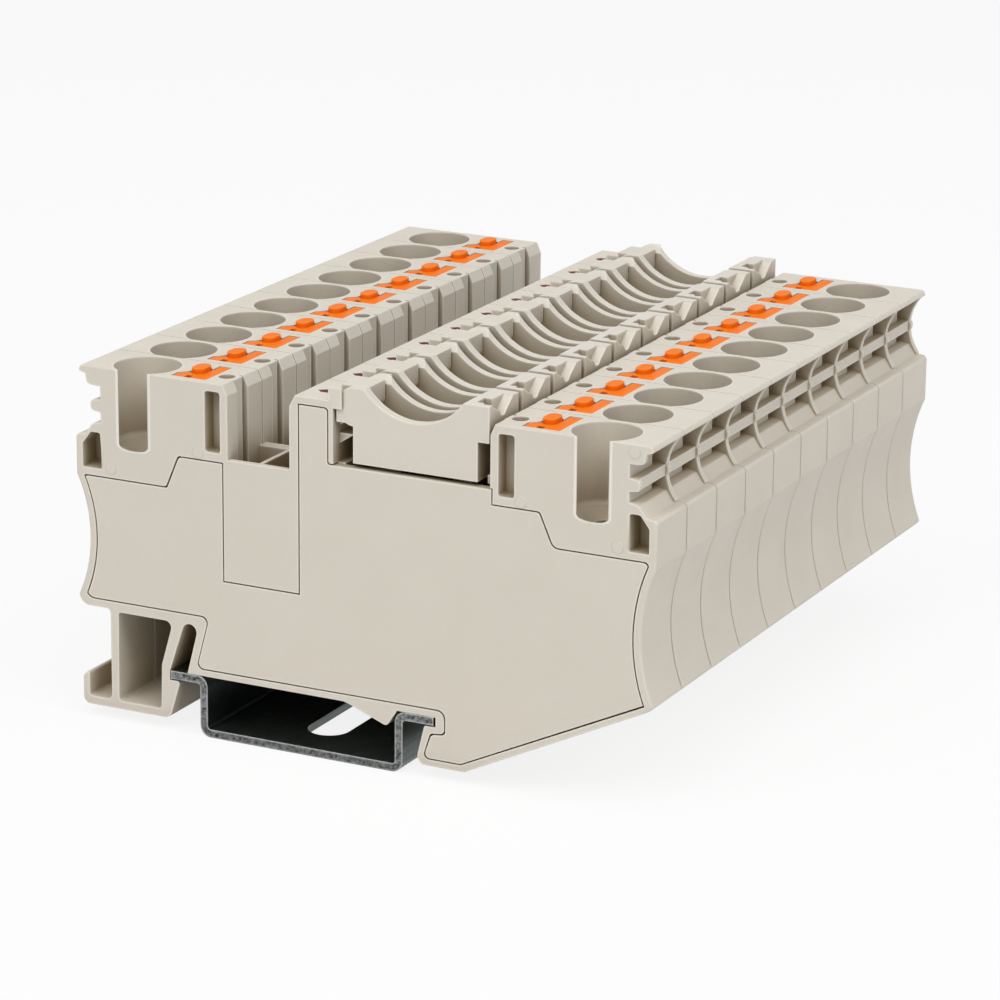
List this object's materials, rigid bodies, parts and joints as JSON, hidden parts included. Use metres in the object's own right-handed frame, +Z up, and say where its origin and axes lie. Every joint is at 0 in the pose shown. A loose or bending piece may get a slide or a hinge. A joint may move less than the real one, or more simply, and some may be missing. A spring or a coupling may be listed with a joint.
{
  "type": "fuse_terminal_block",
  "caption": "Bank of rail-mounted push-in terminal blocks with wire funnels, orange release pushers and hinged fuse levers on a short slotted top-hat rail.",
  "frame": {"origin": "Under the middle of the row of blocks, in the plane of the rail's underside.", "axes": "X along a block from the spring foot to the fixed claw, Y along the rail, Z up from the rail."},
  "size_m": [0.0754, 0.082, 0.0452],
  "materials": {
    "housing_plastic": "moulded",
    "pusher_plastic": "moulded",
    "rail_steel": "zinc plated",
    "contact_metal": "tin plated",
    "spring_steel": "rolled",
    "lamp_plastic": "clear red"
  },
  "bodies": {
    "root": {"din_rail": "rail_steel", "housing_01": "housing_plastic", "housing_02": "housing_plastic", "housing_03": "housing_plastic", "housing_04": "housing_plastic", "housing_05": "housing_plastic", "housing_06": "housing_plastic", "housing_07": "housing_plastic", "housing_08": "housing_plastic", "housing_09": "housing_plastic", "housing_10": "housing_plastic", "side_cover_end": "housing_plastic", "side_covers_inner": "housing_plastic", "current_bars_left": "contact_metal", "current_bars_right": "contact_metal", "clamp_springs": "spring_steel", "indicator_lamps": "lamp_plastic"},
    "lever_01": {"fuse_lever_01": "housing_plastic", "lever_contacts_01": "contact_metal"},
    "push_left_01": {"pusher_left_01": "pusher_plastic"},
    "push_right_01": {"pusher_right_01": "pusher_plastic"},
    "lever_02": {"fuse_lever_02": "housing_plastic", "lever_contacts_02": "contact_metal"},
    "push_left_02": {"pusher_left_02": "pusher_plastic"},
    "push_right_02": {"pusher_right_02": "pusher_plastic"},
    "lever_03": {"fuse_lever_03": "housing_plastic", "lever_contacts_03": "contact_metal"},
    "push_left_03": {"pusher_left_03": "pusher_plastic"},
    "push_right_03": {"pusher_right_03": "pusher_plastic"},
    "lever_04": {"fuse_lever_04": "housing_plastic", "lever_contacts_04": "contact_metal"},
    "push_left_04": {"pusher_left_04": "pusher_plastic"},
    "push_right_04": {"pusher_right_04": "pusher_plastic"},
    "lever_05": {"fuse_lever_05": "housing_plastic", "lever_contacts_05": "contact_metal"},
    "push_left_05": {"pusher_left_05": "pusher_plastic"},
    "push_right_05": {"pusher_right_05": "pusher_plastic"},
    "lever_06": {"fuse_lever_06": "housing_plastic", "lever_contacts_06": "contact_metal"},
    "push_left_06": {"pusher_left_06": "pusher_plastic"},
    "push_right_06": {"pusher_right_06": "pusher_plastic"},
    "lever_07": {"fuse_lever_07": "housing_plastic", "lever_contacts_07": "contact_metal"},
    "push_left_07": {"pusher_left_07": "pusher_plastic"},
    "push_right_07": {"pusher_right_07": "pusher_plastic"},
    "lever_08": {"fuse_lever_08": "housing_plastic", "lever_contacts_08": "contact_metal"},
    "push_left_08": {"pusher_left_08": "pusher_plastic"},
    "push_right_08": {"pusher_right_08": "pusher_plastic"},
    "lever_09": {"fuse_lever_09": "housing_plastic", "lever_contacts_09": "contact_metal"},
    "push_left_09": {"pusher_left_09": "pusher_plastic"},
    "push_right_09": {"pusher_right_09": "pusher_plastic"},
    "lever_10": {"fuse_lever_10": "housing_plastic", "lever_contacts_10": "contact_metal"},
    "push_left_10": {"pusher_left_10": "pusher_plastic"},
    "push_right_10": {"pusher_right_10": "pusher_plastic"}
  },
  "joints": [
    {"name": "lever_hinge_01", "type": "hinge", "parent": "root", "child": "lever_01", "pos_m": [-0.00055, -0.03685, 0.0429], "axis": [0, -1, 0], "range_deg": [0, 85]},
    {"name": "push_left_slide_01", "type": "slide", "parent": "root", "child": "push_left_01", "axis": [0, 0, -1], "range_m": [0, 0.002], "stiffness_N_per_m": 1500},
    {"name": "push_right_slide_01", "type": "slide", "parent": "root", "child": "push_right_01", "axis": [0, 0, -1], "range_m": [0, 0.002], "stiffness_N_per_m": 1500},
    {"name": "lever_hinge_02", "type": "hinge", "parent": "root", "child": "lever_02", "pos_m": [-0.00055, -0.02865, 0.0429], "axis": [0, -1, 0], "range_deg": [0, 85]},
    {"name": "push_left_slide_02", "type": "slide", "parent": "root", "child": "push_left_02", "axis": [0, 0, -1], "range_m": [0, 0.002], "stiffness_N_per_m": 1500},
    {"name": "push_right_slide_02", "type": "slide", "parent": "root", "child": "push_right_02", "axis": [0, 0, -1], "range_m": [0, 0.002], "stiffness_N_per_m": 1500},
    {"name": "lever_hinge_03", "type": "hinge", "parent": "root", "child": "lever_03", "pos_m": [-0.00055, -0.02045, 0.0429], "axis": [0, -1, 0], "range_deg": [0, 85]},
    {"name": "push_left_slide_03", "type": "slide", "parent": "root", "child": "push_left_03", "axis": [0, 0, -1], "range_m": [0, 0.002], "stiffness_N_per_m": 1500},
    {"name": "push_right_slide_03", "type": "slide", "parent": "root", "child": "push_right_03", "axis": [0, 0, -1], "range_m": [0, 0.002], "stiffness_N_per_m": 1500},
    {"name": "lever_hinge_04", "type": "hinge", "parent": "root", "child": "lever_04", "pos_m": [-0.00055, -0.01225, 0.0429], "axis": [0, -1, 0], "range_deg": [0, 85]},
    {"name": "push_left_slide_04", "type": "slide", "parent": "root", "child": "push_left_04", "axis": [0, 0, -1], "range_m": [0, 0.002], "stiffness_N_per_m": 1500},
    {"name": "push_right_slide_04", "type": "slide", "parent": "root", "child": "push_right_04", "axis": [0, 0, -1], "range_m": [0, 0.002], "stiffness_N_per_m": 1500},
    {"name": "lever_hinge_05", "type": "hinge", "parent": "root", "child": "lever_05", "pos_m": [-0.00055, -0.00405, 0.0429], "axis": [0, -1, 0], "range_deg": [0, 85]},
    {"name": "push_left_slide_05", "type": "slide", "parent": "root", "child": "push_left_05", "axis": [0, 0, -1], "range_m": [0, 0.002], "stiffness_N_per_m": 1500},
    {"name": "push_right_slide_05", "type": "slide", "parent": "root", "child": "push_right_05", "axis": [0, 0, -1], "range_m": [0, 0.002], "stiffness_N_per_m": 1500},
    {"name": "lever_hinge_06", "type": "hinge", "parent": "root", "child": "lever_06", "pos_m": [-0.00055, 0.00415, 0.0429], "axis": [0, -1, 0], "range_deg": [0, 85]},
    {"name": "push_left_slide_06", "type": "slide", "parent": "root", "child": "push_left_06", "axis": [0, 0, -1], "range_m": [0, 0.002], "stiffness_N_per_m": 1500},
    {"name": "push_right_slide_06", "type": "slide", "parent": "root", "child": "push_right_06", "axis": [0, 0, -1], "range_m": [0, 0.002], "stiffness_N_per_m": 1500},
    {"name": "lever_hinge_07", "type": "hinge", "parent": "root", "child": "lever_07", "pos_m": [-0.00055, 0.01235, 0.0429], "axis": [0, -1, 0], "range_deg": [0, 85]},
    {"name": "push_left_slide_07", "type": "slide", "parent": "root", "child": "push_left_07", "axis": [0, 0, -1], "range_m": [0, 0.002], "stiffness_N_per_m": 1500},
    {"name": "push_right_slide_07", "type": "slide", "parent": "root", "child": "push_right_07", "axis": [0, 0, -1], "range_m": [0, 0.002], "stiffness_N_per_m": 1500},
    {"name": "lever_hinge_08", "type": "hinge", "parent": "root", "child": "lever_08", "pos_m": [-0.00055, 0.02055, 0.0429], "axis": [0, -1, 0], "range_deg": [0, 85]},
    {"name": "push_left_slide_08", "type": "slide", "parent": "root", "child": "push_left_08", "axis": [0, 0, -1], "range_m": [0, 0.002], "stiffness_N_per_m": 1500},
    {"name": "push_right_slide_08", "type": "slide", "parent": "root", "child": "push_right_08", "axis": [0, 0, -1], "range_m": [0, 0.002], "stiffness_N_per_m": 1500},
    {"name": "lever_hinge_09", "type": "hinge", "parent": "root", "child": "lever_09", "pos_m": [-0.00055, 0.02875, 0.0429], "axis": [0, -1, 0], "range_deg": [0, 85]},
    {"name": "push_left_slide_09", "type": "slide", "parent": "root", "child": "push_left_09", "axis": [0, 0, -1], "range_m": [0, 0.002], "stiffness_N_per_m": 1500},
    {"name": "push_right_slide_09", "type": "slide", "parent": "root", "child": "push_right_09", "axis": [0, 0, -1], "range_m": [0, 0.002], "stiffness_N_per_m": 1500},
    {"name": "lever_hinge_10", "type": "hinge", "parent": "root", "child": "lever_10", "pos_m": [-0.00055, 0.03695, 0.0429], "axis": [0, -1, 0], "range_deg": [0, 85]},
    {"name": "push_left_slide_10", "type": "slide", "parent": "root", "child": "push_left_10", "axis": [0, 0, -1], "range_m": [0, 0.002], "stiffness_N_per_m": 1500},
    {"name": "push_right_slide_10", "type": "slide", "parent": "root", "child": "push_right_10", "axis": [0, 0, -1], "range_m": [0, 0.002], "stiffness_N_per_m": 1500}
  ]
}
